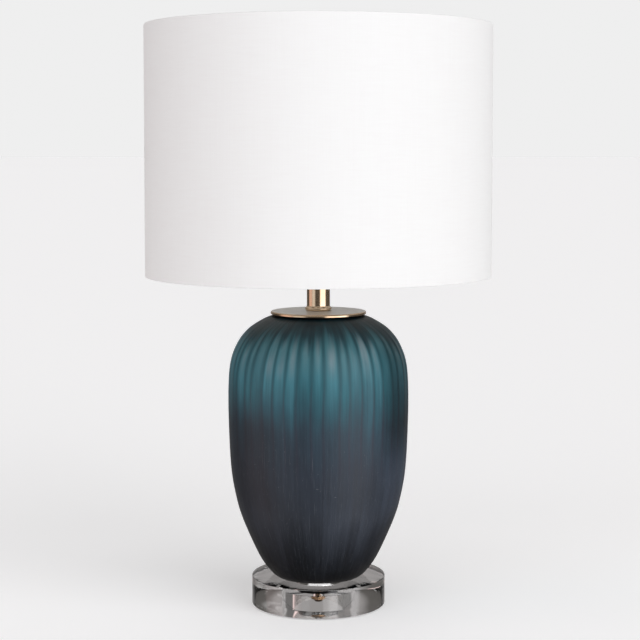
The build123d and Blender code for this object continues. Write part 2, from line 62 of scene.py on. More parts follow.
class Value:
    """A quantity that changes over a surface. Arithmetic on it adds Math nodes to its material."""

    def __init__(self, shader, socket):
        self.shader = shader
        self.socket = socket

    def math(self, operation, *inputs):
        return self.shader.node("Math", {"operation": operation}, dict(enumerate(inputs)))

    def __add__(self, other):
        return self.math("ADD", self, other)

    def __sub__(self, other):
        return self.math("SUBTRACT", self, other)

    def __rsub__(self, other):
        return self.math("SUBTRACT", other, self)

    def __mul__(self, other):
        return self.math("MULTIPLY", self, other)

    def __truediv__(self, other):
        return self.math("DIVIDE", self, other)

    def __pow__(self, other):
        return self.math("POWER", self, other)

    __radd__ = __add__
    __rmul__ = __mul__

    def wave(self):
        """The sine of this value, 0 to 1."""
        return self.math("SINE", self) * 0.5 + 0.5

    def step(self, low, high):
        """0 below low, 1 above high, and a smooth rise between them."""
        sockets = {"Value": self, "From Min": low, "From Max": high}
        return self.shader.node("MapRange", {"interpolation_type": "SMOOTHSTEP"}, sockets)


class Shader:
    """The nodes of one material, or of the world."""

    def __init__(self, tree):
        self.tree = tree

    def node(self, kind, settings=None, sockets=None, output=0):
        """Adds a node, sets its settings, fills or links its sockets, and gives one of its outputs."""
        made = self.tree.nodes.new("ShaderNode" + kind)
        for key, value in (settings or {}).items():
            if key == "stops":
                ramp = made.color_ramp.elements
                for place, colour in value[1:-1]:
                    ramp.new(place).color = colour
                ramp[0].position, ramp[0].color = value[0]
                ramp[-1].position, ramp[-1].color = value[-1]
            else:
                setattr(made, key, value)
        for key, value in (sockets or {}).items():
            if isinstance(value, Value):
                self.tree.links.new(value.socket, made.inputs[key])
            else:
                made.inputs[key].default_value = value
        return Value(self, made.outputs[output])

    def place(self):
        """Where a point is on the lamp, in metres."""
        return self.node("TexCoord", output="Object")

    def vector(self, operation, first, second=(0, 0, 0)):
        """Vector Math on one or two vectors."""
        return self.node("VectorMath", {"operation": operation}, {0: first, 1: second})

    def axis(self, index):
        """Where a point is along X, Y or Z."""
        return self.node("SeparateXYZ", {}, {0: self.place()}, output=index)

    def lathe(self, fineness):
        """Fine rings round the lamp's axis, this many radians of a sine to the metre."""
        rings = (self.axis(0) ** 2 + self.axis(1) ** 2) ** 0.5
        return (rings * fineness).wave()

    def noise(self, stretch, detail=2.0, around=False):
        """Cloudy noise from 0 to 1. stretch is its fineness per metre, one number or one for each axis,
        or, around the lamp's axis, per radian and per metre of height, so that streaks run up a round
        piece."""
        point = self.place()
        if around:
            level = self.vector("NORMALIZE", self.vector("MULTIPLY", point, (1, 1, 0)))
            level = self.vector("MULTIPLY", level, (stretch[0], stretch[0], 0))
            point = self.vector("ADD", level, self.vector("MULTIPLY", point, (0, 0, stretch[1])))
        else:
            even = (stretch,) * 3 if np.isscalar(stretch) else stretch
            point = self.vector("MULTIPLY", point, even)
        return self.node("TexNoise", {}, {"Vector": point, "Scale": 1.0, "Detail": detail})

    def ramp(self, value, *stops):
        """A colour that runs through (value, red, green, blue) stops."""
        stops = [(place, tone(*colour)) for place, *colour in stops]
        return self.node("ValToRGB", {"stops": stops}, {"Fac": value})

    def mix(self, share, first, second, blend="MIX"):
        """A colour between two others."""
        settings = {"data_type": "RGBA", "blend_type": blend}
        return self.node("Mix", settings, {0: share, 6: first, 7: second}, output=2)

    def bump(self, height, depth):
        """A normal for relief whose height goes from 0 to 1 over this depth in metres."""
        return self.node("Bump", {}, {"Strength": 1.0, "Distance": depth, "Height": height})


def material(name, plain, pattern=None):
    """A material with plain shader settings, and a pattern(shader) that gives those that vary."""
    made = bpy.data.materials.new(name)
    made.use_nodes = True
    surface = made.node_tree.nodes["Principled BSDF"]
    for key, value in plain.items():
        surface.inputs[key].default_value = value
    if pattern:
        for key, value in pattern(Shader(made.node_tree)).items():
            made.node_tree.links.new(value.socket, surface.inputs[key])
    return made


def placed(name, data):
    """A new object in the scene, for a mesh or a camera."""
    made = bpy.data.objects.new(name, data)
    bpy.context.scene.collection.objects.link(made)
    return made


def skin(name, grid, flat=None, closed=True):
    """A mesh over a grid of points in millimetres, with a face between each four neighbours. Its columns
    always close on themselves, and its rows do if closed is true. flat gives each row's and each
    column's place when the surface is laid flat, one more than there are points, for the UV map."""
    rows, columns = grid.shape[:2]
    last = rows if closed else rows - 1
    row, column = np.meshgrid(np.arange(last), np.arange(columns), indexing="ij")
    corners = [(row, column), (row + 1, column), (row + 1, column + 1), (row, column + 1)]
    faces = np.stack([(a % rows) * columns + b % columns for a, b in corners], axis=-1)
    mesh = bpy.data.meshes.new(name)
    mesh.from_pydata(grid.reshape(-1, 3) * mm, [], faces.reshape(-1, 4))
    if flat:
        spread = np.stack([np.stack([flat[0][a], flat[1][b]], axis=-1) for a, b in corners], axis=2)
        mesh.uv_layers.new(name="cloth").data.foreach_set("uv", spread.ravel() * mm)
    return placed(name, mesh)


def tidy(piece, crease=35, joined=False):
    """Merges points that coincide, as at a pole, makes one face of flat neighbours if joined is true,
    and shades smooth except over sharp creases."""
    shape = bmesh.new()
    shape.from_mesh(piece.data)
    bmesh.ops.remove_doubles(shape, verts=shape.verts, dist=1e-6)
    if joined:
        bmesh.ops.dissolve_limit(shape, angle_limit=np.radians(0.5), verts=shape.verts, edges=shape.edges)
    bmesh.ops.delete(shape, geom=[edge for edge in shape.edges if edge.is_wire], context="EDGES")
    shape.to_mesh(piece.data)
    shape.free()
    piece.data.shade_smooth()
    piece.data.set_sharp_from_angle(angle=np.radians(crease))
    return piece


def rounded(corners, steps=5):
    """A closed outline of (radius, height, cut) corners. Each corner is replaced by a parabola that
    leaves its two sides the length cut away from it: (1-t)^2 start + 2t(1-t) corner + t^2 end."""
    corners = np.array(corners, float)
    point, cut = corners[:, :2], corners[:, 2:]
    back, ahead = np.roll(point, 1, axis=0) - point, np.roll(point, -1, axis=0) - point
    start = point + cut * back / np.linalg.norm(back, axis=1, keepdims=True)
    end = point + cut * ahead / np.linalg.norm(ahead, axis=1, keepdims=True)
    t = np.linspace(0, 1, steps)[None, :, None]
    curve = (1 - t) ** 2 * start[:, None] + 2 * t * (1 - t) * point[:, None] + t**2 * end[:, None]
    return curve.reshape(-1, 2)


def turned(name, outline, columns=96, steps=5, relief=None, place=None):
    """A turned piece: the outline's (radius, height) points swung round the Z axis. Where it has
    (radius, height, cut) corners instead, they are rounded first. relief(angle, radius, height) is added
    to the radius. The outline runs up the outside and down the inside."""
    outline = np.array(outline, float)
    if outline.shape[1] == 3:
        outline = rounded(outline, steps)
    angle = (np.arange(columns + 1) / columns * 2 * np.pi)[:, None]
    radius, height = outline[:, 0][None, :], outline[:, 1][None, :]
    swell = 0 if relief is None else relief(angle, radius, height)
    reach = radius + swell + 0 * angle
    grid = np.stack([reach * np.sin(angle), -reach * np.cos(angle), height + 0 * reach], axis=-1)
    sides = np.linalg.norm(np.diff(outline, axis=0, append=outline[:1]), axis=1)
    flat = (angle[:, 0] * outline[:, 0].max(), np.concatenate([[0], np.cumsum(sides)]))
    piece = skin(name, grid[:-1], flat)
    if place is not None:
        piece.data.transform(place)
    return tidy(piece)


def fit(piece, look, body, slot, *solids):
    """Finishes a piece: its material, the body it moves with, and the solids it stands for. The slot is not
    used.
    """
    piece.data.materials.clear()
    piece.data.materials.append(look)
    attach(piece, body)
    if solids:
        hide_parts(*solids)
    return piece


def pad_pattern(shader):
    dust = shader.noise(900, 3.0)
    return {"Roughness": dust * 0.25 + 0.2}


silicone = material(
    "clear_silicone",
    {"Base Color": tone(236, 238, 238), "Transmission Weight": 0.8, "IOR": 1.41},
    pad_pattern,
)
pad_reach, _, pad_top = np.array(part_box("foot_pads")[1]) / mm
pad_radius = 5
pad_ring = (pad_reach - pad_radius) * 2**0.5
pad_corners = [
    (0, 0, 0),
    (pad_radius, 0, 0.7),
    (pad_radius, pad_top, 0.2),
    (pad_radius - 1.2, pad_top, 0.1),
    (0, pad_top - 0.2, 0),
]
for number, turn in enumerate(np.radians([45, 135, 225, 315])):
    where = Matrix.Translation((pad_ring * mm * np.cos(turn), pad_ring * mm * np.sin(turn), 0))
    pad = turned(f"foot_pad_{number + 1}", pad_corners, 48, place=where)
    fit(pad, silicone, "stand", "clear_pad", "foot_pads")

# ---- acrylic base
# A 157 mm disc sawn from 33 mm clear cast acrylic, its face, edge and recess flame-polished. The recess
# underneath takes the clamp nut, and a cord hole is drilled from it straight out of the back.
base_bottom, base_top = levels("acrylic_base")
base_radius = 78.7
pipe_hole = 5.3
recess_radius = 28.5
recess_roof = base_bottom + 16.5
cord_hole_radius = 5
cord_height = base_bottom + 8.2
arris = 0.7  # the polished bevel along each edge


def acrylic_pattern(shader):
    """Polishing leaves the faces almost perfect: only a faint ripple and a few hairline marks."""
    ripple = shader.noise(60, 1.0)
    hairline = shader.noise((1400, 90, 90), 2.0).step(0.72, 0.8)
    return {"Roughness": hairline * 0.05 + ripple * 0.015}


acrylic = material(
    "clear_acrylic",
    {"Base Color": tone(243, 241, 239), "Transmission Weight": 1.0, "IOR": 1.49},
    acrylic_pattern,
)


def bored(piece, cutter):
    """Cuts the cutter out of the piece, which keeps its place, and throws the cutter away."""
    hole = piece.modifiers.new("bore", "BOOLEAN")
    hole.operation = "DIFFERENCE"
    hole.solver = "EXACT"
    hole.object = cutter
    made = bpy.data.meshes.new_from_object(piece.evaluated_get(bpy.context.evaluated_depsgraph_get()))
    piece.modifiers.clear()
    piece.data = made
    bpy.data.objects.remove(cutter)
    return tidy(piece, 30)


base_disc = turned(
    "base_disc",
    [
        (pipe_hole, recess_roof, 0.2),
        (recess_radius, recess_roof, 0.8),
        (recess_radius, base_bottom, 0.5),
        (base_radius, base_bottom, arris),
        (base_radius, base_top, arris),
        (pipe_hole, base_top, 0.3),
    ],
    256,
    steps=4,
)


def lying(height, degrees, axis="X"):
    """Lays a turned piece down at this height: -90 about X points it to the back, 90 to the front."""
    return Matrix.Translation((0, 0, height * mm)) @ Matrix.Rotation(np.radians(degrees), 4, axis)


def drill(radius, start, stop, place):
    """A plain round bar that cuts a hole."""
    return turned("drill", [(0, start), (radius, start), (radius, stop), (0, stop)], 64, place=place)


cord_drill = drill(cord_hole_radius, 20, 90, lying(cord_height, -90))
fit(bored(base_disc, cord_drill), acrylic, "stand", "clear_acrylic", "acrylic_base")

# ---- cord bushing
# A snap-in bushing of black nylon that lines the cord hole at the back, with a thin round flange.
bushing_root, bushing_face = (corner.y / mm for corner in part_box("cord_bushing"))


def nylon_pattern(shader):
    moulding = shader.noise(2500, 3.0)
    return {"Roughness": moulding * 0.12 + 0.36, "Normal": shader.bump(moulding, 0.03 * mm)}


black_plastic = material("black_plastic", {"Base Color": tone(26, 26, 28)}, nylon_pattern)
bushing = turned(
    "back_bushing",
    [
        (3.2, bushing_root, 0.4),
        (4.95, bushing_root, 0.3),
        (4.95, base_radius, 0.1),
        (7, base_radius, 0.2),
        (7, bushing_face, 0.9),
        (3.2, bushing_face, 0.9),
    ],
    72,
    place=lying(cord_height, -90),
)
fit(bushing, black_plastic, "stand", "black_plastic", "cord_bushing")

# ---- clamp stack
# Under the base a wide zinc-plated washer, a toothed lock washer and a brass hexagon nut pull the whole
# lamp together on its threaded pipe. They are pressed, punched and turned, and sit inside the recess.
pipe_radius = 4.9
pipe_bore = pipe_radius + 0.1  # the hole in the plain pieces that the pipe runs through
nut_bore = pipe_radius + 0.05


def zinc_pattern(shader):
    spangle = shader.noise(700, 4.0)
    lathe = shader.lathe(9000)
    colour = shader.mix(spangle.step(0.35, 0.7), tone(176, 178, 180), tone(206, 207, 206))
    rough = spangle * 0.2 + 0.22
    return {"Base Color": colour, "Roughness": rough, "Normal": shader.bump(lathe, 0.01 * mm)}


def clouded(first, second, stretch, detail, rough, rougher, around=False, edges=None):
    """A pattern of two tones that lie in clouds, rougher by so much where the second one is. edges, if
    given, are the noise levels between which the first tone gives way to the second."""

    def pattern(shader):
        cloud = shader.noise(stretch, detail, around)
        share = cloud.step(*edges) if edges else cloud
        colour = shader.mix(share, tone(*first), tone(*second))
        return {"Base Color": colour, "Roughness": cloud * rougher + rough}

    return pattern


zinc = material("zinc_steel", {"Metallic": 1.0}, zinc_pattern)
tarnish = clouded((150, 122, 94), (112, 88, 68), 260, 4.0, 0.3, 0.22, edges=(0.35, 0.75))
brass = material("plain_brass", {"Metallic": 1.0}, tarnish)


def hexagon_nut(name, node, corner_radius):
    """A hexagon nut: the wall's radius is flat / cos(angle from the middle of a flat), and its top and
    bottom edges fall away from a circle inside the corners at 30 degrees, as a turned chamfer does."""
    low, high = levels(node)
    flat = corner_radius * np.cos(np.pi / 6)
    angle = np.linspace(0, 2 * np.pi, 144, endpoint=False)[:, None]
    wall = flat / np.cos((angle + np.pi / 6) % (np.pi / 3) - np.pi / 6)
    drop = np.maximum(0, wall - flat * 1.01) * np.tan(np.pi / 6) + 0.15
    every = 0 * wall  # spreads a plain number round all the angles
    bore, lead, brim = nut_bore + every, 0.5, flat * 0.97 + every
    radius = [bore, bore + lead, brim, wall, wall, brim, bore + lead, bore]
    rise = [low + lead + every, low + every, low + every, low + drop]
    rise += [high - drop, high + every, high + every, high - lead + every]
    radius, rise = np.hstack(radius), np.hstack(rise)
    grid = np.stack([radius * np.cos(angle), radius * np.sin(angle), rise], axis=-1)
    return tidy(skin(name, grid), 25)


def ring(name, node, inner, outer, inner_cut, outer_cut, columns=128, steps=5, relief=None):
    """A plain ring as high as its node, from one radius to another, with its edges rounded."""
    low, high = levels(node)
    under = [(inner, low, inner_cut), (outer, low, outer_cut)]
    over = [(outer, high, outer_cut), (inner, high, inner_cut)]
    return turned(name, under + over, columns, steps, relief)


washer = ring("wide_washer", "clamp_washer", pipe_bore, 17, 0.1, 0.5)
fit(washer, zinc, "stand", "zinc_steel", "clamp_washer")
tooth_count = 12


def teeth(angle, radius, height):
    """Square teeth round the outer edge, steepened from a sine."""
    return np.clip(3 * np.sin(tooth_count * angle), -1, 1) * 0.8 * (radius > 7)


lock_washer = ring("toothed_washer", "lock_washer", pipe_bore, 7.6, 0.1, 0.2, 288, relief=teeth)
fit(lock_washer, zinc, "stand", "zinc_steel", "lock_washer")
fit(hexagon_nut("clamp_nut", "bottom_nut", 9.2), brass, "stand", "plain_brass", "bottom_nut")

# ---- lamp pipe
# A brass tube 9.8 mm across that runs from the recess to the socket. Both ends have a rolled thread, as
# far as the nuts need it, and the cord runs up inside.
pipe_low, pipe_high = levels("lamp_pipe")
pitch = 1
thread_low = pipe_low + 26
thread_high = pipe_high - 70


def pipe_thread(angle, radius, height):
    """A 60 degree thread: a triangle wave of the height less one pitch for each turn, cut inwards, and
    faded out over a pitch where the plain middle starts and at the chamfered ends."""
    turns = (height - pitch * angle / (2 * np.pi)) / pitch
    groove = 2 * np.abs(turns % 1 - 0.5)
    inside = np.minimum(height - pipe_low, pipe_high - height) / pitch
    plain = np.minimum(height - thread_low, thread_high - height) / pitch
    depth = np.clip(inside, 0, 1) * np.clip(-plain, 0, 1)
    return np.where(radius > 4, -0.5 * depth * groove, 0)


lower_thread = np.arange(pipe_low + 0.6, thread_low + pitch, pitch / 6)
upper_thread = np.arange(thread_high - pitch, pipe_high - 0.6, pitch / 6)
pipe_wall = np.concatenate([lower_thread, upper_thread])
pipe_outline = np.vstack(
    [
        [(3.5, pipe_low), (pipe_radius - 0.6, pipe_low)],
        np.column_stack([np.full(len(pipe_wall), pipe_radius), pipe_wall]),
        [(pipe_radius - 0.6, pipe_high), (3.5, pipe_high)],
    ]
)
pipe = turned("threaded_pipe", pipe_outline, 36, relief=pipe_thread)
fit(pipe, brass, "stand", "plain_brass", "lamp_pipe")

# ---- gaskets
# Soft grey rings keep the glass off the acrylic, the pipe and the cap, and a black moulded disc under the
# cap holds the mouth of the glass central. They are punched or moulded, and nearly out of sight.
rubber = material("grey_gasket", {}, clouded((70, 71, 73), (104, 105, 106), 500, 4.0, 0.6, 0.2))
foot_ring = ring("foot_ring", "foot_gasket", 34, 44, 0.1, 0.3)
fit(foot_ring, rubber, "stand", "gasket_felt", "foot_gasket")

grommet_low, grommet_high = levels("foot_grommet")
flange_low = grommet_high - 2
grommet = turned(
    "pipe_grommet",
    [
        (pipe_bore, grommet_low, 0.3),
        (7.9, grommet_low, 0.5),
        (7.9, flange_low, 0.2),
        (12, flange_low, 0.3),
        (12, grommet_high, 0.8),
        (pipe_bore, grommet_high, 0.3),
    ],
    72,
)
fit(grommet, rubber, "stand", "gasket_felt", "foot_grommet")
mouth_ring = ring("mouth_ring", "mouth_gasket", 38.4, 42.6, 0.2, 0.3)
fit(mouth_ring, rubber, "stand", "gasket_felt", "mouth_gasket")

locator_low, locator_high = levels("mouth_locator")
web_low = locator_high - 2.5
locator = turned(
    "mouth_plug",
    [
        (pipe_bore, locator_low, 0.3),
        (9.9, locator_low, 0.5),
        (9.9, web_low, 0.8),
        (34, web_low, 0.8),
        (34, locator_low, 0.5),
        (37.7, locator_low, 0.8),
        (37.7, locator_high, 0.3),
        (pipe_bore, locator_high, 0.2),
    ],
    96,
)
fit(locator, black_plastic, "stand", "black_plastic", "mouth_locator")

# ---- glass body
# A blown urn of heavy teal glass, sprayed through to charcoal at the foot. Forty-four shallow flutes are
# ground down it by hand with a wide stone wheel, then it is satin-finished all over and rubbed back.
glass_low, glass_high = levels("glass_body")
glass_height = glass_high - glass_low
flute_count = 44
flute_depth = 0.65
flute_top = 303  # above the foot
arched_end = 30  # the height over which the wheel comes out of the shoulder
run_out = 90  # the height over which a flute fades out towards the foot
glass_wall = 5
glass_columns = flute_count * 14
# Radius and height of the outside, from the foot to the mouth, heights above the foot, in millimetres.
urn_outline = np.array(
    [
        (50.6, 0.0), (58.0, 6.5), (70.9, 25.5), (89.4, 66.9), (98.0, 96.6), (103.5, 132.1),
        (106.1, 190.0), (105.9, 231.0), (103.0, 256.5), (95.0, 276.7), (82.5, 292.1),
        (66.4, 302.8), (53.0, 308.2), (43.0, 311.3),
    ]
)


def through(points, count):
    """A smooth curve through points, by Catmull-Rom: each span is a cubic whose slope at each end is
    half the step between that end's neighbours. Gives count points, evenly spaced along the curve."""
    padded = np.vstack([2 * points[0] - points[1], points, 2 * points[-1] - points[-2]])
    t = np.linspace(0, 1, 40, endpoint=False)[:, None]
    before, start, end, after = (padded[k : len(padded) - 3 + k, None] for k in range(4))
    bend = 2 * before - 5 * start + 4 * end - after
    spans = start + 0.5 * t * (end - before + t * (bend + t * (3 * (start - end) + after - before)))
    curve = np.vstack([spans.reshape(-1, 2), points[-1:]])
    run = np.concatenate([[0], np.cumsum(np.linalg.norm(np.diff(curve, axis=0), axis=1))])
    even = np.linspace(0, run[-1], count)
    return np.column_stack([np.interp(even, run, curve[:, k]) for k in (0, 1)])


outside = through(urn_outline, 132)
slope = np.gradient(outside, axis=0)
square = np.column_stack([-slope[:, 1], slope[:, 0]]) / np.linalg.norm(slope, axis=1, keepdims=True)
inside = (outside + glass_wall * square)[8:-8:12][::-1]
lip = [(40, outside[-1, 1]), (38, outside[-1, 1] - 2)]
floor_inside = [(46, 9), (8, 9), (8, 0.5), (9, 0)]
glass_outline = np.vstack([outside, lip, inside, floor_inside, [(46, 0.0)]])
glass_outline[:, 1] += glass_low

hand = np.random.default_rng(12)
flute_edge = (np.arange(flute_count + 1) - 0.5) / flute_count * 2 * np.pi
flute_edge[1:-1] += hand.uniform(-1, 1, flute_count - 1) * np.radians(1.5)
flute_start = hand.uniform(-1, 1, flute_count) * 7  # each flute starts a little higher or lower
flute_cut = hand.uniform(0.55, 1.1, flute_count)
flute_end = hand.uniform(145, 225, flute_count)  # where each one has run out, above the foot
ridge_wander = hand.uniform(0, 2 * np.pi, 3)


def flutes(angle, height):
    """How deep each point is ground, from 0 at a ridge to 1 in the middle of a flute, and how near it is
    to a ridge, 1 on it. Across a flute the depth is a half sine, cut off low down so that a narrow ridge
    stays unground. At the top the wheel is still coming out of the shoulder, so a flute's end is arched,
    and it runs out slowly towards the foot. The ridges wander sideways by two sines of the height."""
    level = (height - glass_low) / glass_height
    drift = 0.006 * np.sin(9 * level + ridge_wander[0] + angle)
    drift = drift + 0.004 * np.sin(21 * level + ridge_wander[1] + 3 * angle)
    turn = (angle + drift - flute_edge[0]) % (2 * np.pi) + flute_edge[0]
    number = np.clip(np.searchsorted(flute_edge, turn, side="right") - 1, 0, flute_count - 1)
    share = (turn - flute_edge[number]) / (flute_edge[number + 1] - flute_edge[number])
    top = glass_low + flute_top + flute_start[number]
    reach = np.clip((top - height) / arched_end, 0, 1)
    rest = np.clip((height - glass_low - flute_end[number]) / run_out, 0, 1)
    wheel = np.clip(1.15 * np.sin(np.pi * share) - 0.15, 0, 1)
    depth = wheel * np.sqrt(reach) * flute_cut[number] * (0.14 + 0.86 * rest**1.3)
    return depth, np.clip(1 - 8 * np.minimum(share, 1 - share), 0, 1)


def glass_relief(angle, radius, height):
    """The flutes are cut from the outside only, whose points are the first of the outline."""
    cut = flutes(angle, height)[0] * flute_depth
    return np.where(np.arange(cut.shape[1])[None, :] < len(outside), -cut, 0)


def glass_pattern(shader):
    """Teal near the shoulder, slate and then charcoal towards the foot. Right under the cap the colour
    darkens again, which is painted shade where the lamp shade's shadow falls. The bright teal band below
    that is partly painted highlight, as is a pale grey painted on the flute tops there.
    The ridges between flutes keep the unground skin, which is darker, and streaks and hairline scratches
    run down with the wheel. Some flanks are painted darker or paler than the rest: painted shade high on
    the right and on the left, painted highlight low on the front right, and paler low on the right side."""
    rise = (shader.axis(2) - glass_low * mm) / (glass_height * mm)
    azimuth = shader.axis(0).math("ARCTAN2", shader.axis(0), 0 - shader.axis(1))  # 0 to the front

    def painted_light_patch(left, right, low, high):
        """How much of a patch of painted light lies here, between two azimuths and two heights."""
        across = azimuth.step(left - 0.16, left + 0.16) * (1 - azimuth.step(right - 0.16, right + 0.16))
        return across * rise.step(low - 0.07, low + 0.07) * (1 - rise.step(high - 0.07, high + 0.07))

    cloud = shader.noise((3.5, 12), 3.0, around=True)
    streak = shader.noise((26, 5), 3.0, around=True)
    fine = shader.noise((120, 26), 4.0, around=True)
    shifted = rise + (cloud - 0.5) * 0.16 + (streak - 0.5) * 0.1
    # Right under the cap both ramps darken again: painted shade where the lamp shade's shadow falls. Their
    # bright teal band just below that is partly painted highlight.
    ground = shader.ramp(
        shifted,
        (0.0, 19, 22, 27), (0.08, 24, 27, 33), (0.17, 40, 44, 51), (0.26, 48, 53, 61),
        (0.42, 50, 57, 68), (0.56, 48, 68, 80), (0.68, 48, 86, 98), (0.8, 60, 112, 124),
        (0.88, 64, 110, 119), (0.94, 26, 56, 64), (1.0, 16, 32, 38),
    )
    ridge = shader.ramp(
        shifted,
        (0.0, 17, 19, 23), (0.1, 26, 29, 35), (0.25, 46, 50, 58), (0.45, 46, 53, 63),
        (0.6, 46, 60, 71), (0.76, 38, 86, 96), (0.88, 30, 72, 81), (0.94, 20, 46, 53),
        (1.0, 14, 28, 34),
    )
    flute = shader.node("Attribute", {"attribute_name": "flute"}, output="Fac")
    colour = shader.mix(flute.step(0.0, 0.5) * 0.85 + 0.15, ridge, ground)
    # A pale grey painted on the flute tops just under the shoulder: a painted highlight.
    painted_flute_highlight = flute.step(0.3, 0.9) * rise.step(0.76, 0.87) * (1 - rise.step(0.9, 0.96)) * cloud.step(0.3, 0.6)
    colour = shader.mix(painted_flute_highlight * 0.6, colour, tone(128, 142, 148))
    seam = shader.node("Attribute", {"attribute_name": "ridge"}, output="Fac")
    seam = seam * rise.step(0.34, 0.55) * (1 - rise.step(0.72, 0.84)) * (streak * 0.8)
    colour = shader.mix(seam, colour, tone(54, 44, 54))
    shade = streak * 0.5 + fine * 0.35 + cloud * 0.5 + 0.33
    # Painted shade high on the right flank and on the left, then painted highlight low on the front right
    # and a paler patch low on the right flank.
    shade = shade * (1 - painted_light_patch(0.84, 2.0, 0.54, 0.93) * 0.55 - painted_light_patch(-2.0, -0.45, 0.27, 0.64) * 0.32)
    shade = shade * (1 + painted_light_patch(0.8, 1.6, 0.24, 0.46) * 0.6 + painted_light_patch(0.12, 0.7, 0.08, 0.3) * 0.45)
    grey = shader.node("CombineColor", {}, {0: shade, 1: shade, 2: shade})
    colour = shader.mix(1.0, colour, grey, "MULTIPLY")
    low = 1 - rise.step(0.4, 0.75)
    scratch = shader.noise((260, 34), 2.0, around=True).step(0.64, 0.76) * low
    colour = shader.mix(scratch * 0.28, colour, tone(118, 124, 132))
    speck = shader.noise(700, 1.0).step(0.74, 0.8) * low
    colour = shader.mix(speck * 0.3, colour, tone(150, 154, 158))
    return {
        "Base Color": colour,
        "Roughness": streak * 0.14 + fine * 0.12 + 0.34,
        "Normal": shader.bump(fine * 0.7 + streak + scratch * 0.5, 0.16 * mm),
    }


satin_glass = material("satin_cut_glass", {"IOR": 1.5, "Specular IOR Level": 0.32}, glass_pattern)
glass = turned("glass_urn", glass_outline, glass_columns, relief=glass_relief)
place = np.zeros(len(glass.data.vertices) * 3)
glass.data.vertices.foreach_get("co", place)
x, y, z = place.reshape(-1, 3).T
for name, amount in zip(("flute", "ridge"), flutes(np.arctan2(x, -y), z / mm)):
    glass.data.attributes.new(name, "FLOAT", "POINT").data.foreach_set("value", amount)
fit(glass, satin_glass, "stand", "cut_glass", "glass_body")

# ---- vase cap and neck
# A spun brass cap with a rolled edge sits on the mouth of the glass, and a drawn brass tube with a flared
# foot stands on it. Both are brushed while they turn, darkened chemically and lacquered.
cap_low, cap_high = levels("vase_cap")
cap_radius = 56.3
neck_low, neck_high = levels("neck_tube")
neck_radius = 13.65
glass_seat = levels("mouth_gasket")[1]


def antique_pattern(shader):
    """Brushed rings, and a brown patina that lies in patches."""
    patina = shader.noise(38, 4.0)
    brushing = shader.noise((6, 4200), 2.0, around=True)
    colour = shader.mix(patina.step(0.3, 0.75), tone(222, 197, 168), tone(198, 168, 137))
    colour = shader.mix(brushing * 0.2, colour, tone(124, 98, 72))
    normal = shader.bump(brushing, 0.004 * mm)
    return {"Base Color": colour, "Roughness": patina * 0.08 + brushing * 0.08 + 0.1, "Normal": normal}


antique_brass = material("antique_brass", {"Metallic": 1.0}, antique_pattern)


def grey_top_pattern(shader):
    """The cap's flat top is turned on the lathe, so fine rings run round it. It is coloured a greyer,
    half-metal brass: a painted reflection of the grey studio behind, which the top faces at a grazing
    angle.
    """
    lathe = shader.lathe(7000)
    grey_blotch = shader.noise(55, 4.0)
    colour = shader.mix(grey_blotch, tone(232, 229, 225), tone(206, 203, 199))
    normal = shader.bump(lathe, 0.002 * mm)
    return {"Base Color": colour, "Roughness": grey_blotch * 0.1 + lathe * 0.04 + 0.24, "Normal": normal}


painted_reflection_top = material("brass_top_painted_reflection", {"Metallic": 0.55}, grey_top_pattern)
cap = turned(
    "spun_cap",
    [
        (pipe_bore, glass_seat, 0),
        (cap_radius - 2.1, glass_seat, 0.4),
        (cap_radius - 1.3, glass_seat - 0.6, 0.2),
        (cap_radius - 1.3, cap_low, 0.3),
        (cap_radius, cap_low, 0.5),
        (cap_radius, cap_high - 0.7, 1.7),
        (cap_radius - 2.6, cap_high - 0.4, 1.2),
        (30, cap_high - 0.1, 8),
        (pipe_bore, cap_high, 0),
    ],
    192,
    steps=8,
)
fit(cap, antique_brass, "stand", "antique_brass", "vase_cap")
cap.data.materials.append(painted_reflection_top)
# Faces that look straight up take the greyer top, whose colour is a painted reflection.
upward = np.zeros(len(cap.data.polygons) * 3)
cap.data.polygons.foreach_get("normal", upward)
cap.data.polygons.foreach_set("material_index", (upward[2::3] > 0.97).astype(int))

neck = turned(
    "neck_tube_brass",
    [
        (neck_radius - 1.2, neck_low, 0.2),
        (neck_radius + 0.7, neck_low, 0.3),
        (neck_radius + 2.9, neck_low + 2.7, 2.2),
        (neck_radius, neck_low + 5.2, 0.7),
        (neck_radius, neck_high, 0.3),
        (neck_radius - 1.2, neck_high, 0.2),
    ],
    128,
    steps=9,
)
fit(neck, antique_brass, "stand", "antique_brass", "neck_tube")

bush_low, bush_high = levels("neck_bush")
bush = turned(
    "neck_plug",
    [
        (pipe_bore, bush_low, 0.2),
        (12.4, bush_low, 0.5),
        (12.4, neck_high, 0.1),
        (neck_radius, neck_high, 0.15),
        (neck_radius, bush_high, 0.6),
        (pipe_bore, bush_high, 0.2),
    ],
    96,
)
fit(bush, antique_brass, "stand", "antique_brass", "neck_bush")
saddle_nut = hexagon_nut("saddle_nut", "top_locknut", 8.1)
fit(saddle_nut, brass, "stand", "plain_brass", "top_locknut")

# ---- harp saddle
# A strip of brass 12 mm wide, pressed into a shallow tray that the pipe's nut clamps. A prong is
# riveted up near each end, and the harp's legs stand beside the prongs, locked by their sleeves.


def softened(name, node, edge, look, body, slot):
    """A pressed or moulded piece: a copy of the solid with its seams merged, its flat faces joined and
    its edges rounded over by this much."""
    piece = tidy(placed(name, nodes[node].data.copy()), 30, joined=True)
    bevel = piece.modifiers.new("edges", "BEVEL")
    bevel.width = edge * mm
    bevel.segments = 2
    bevel.angle_limit = np.radians(40)
    bevel.harden_normals = True
    return fit(piece, look, body, slot, node)


softened("saddle_strip", "harp_saddle", 0.25, antique_brass, "stand", "antique_brass")

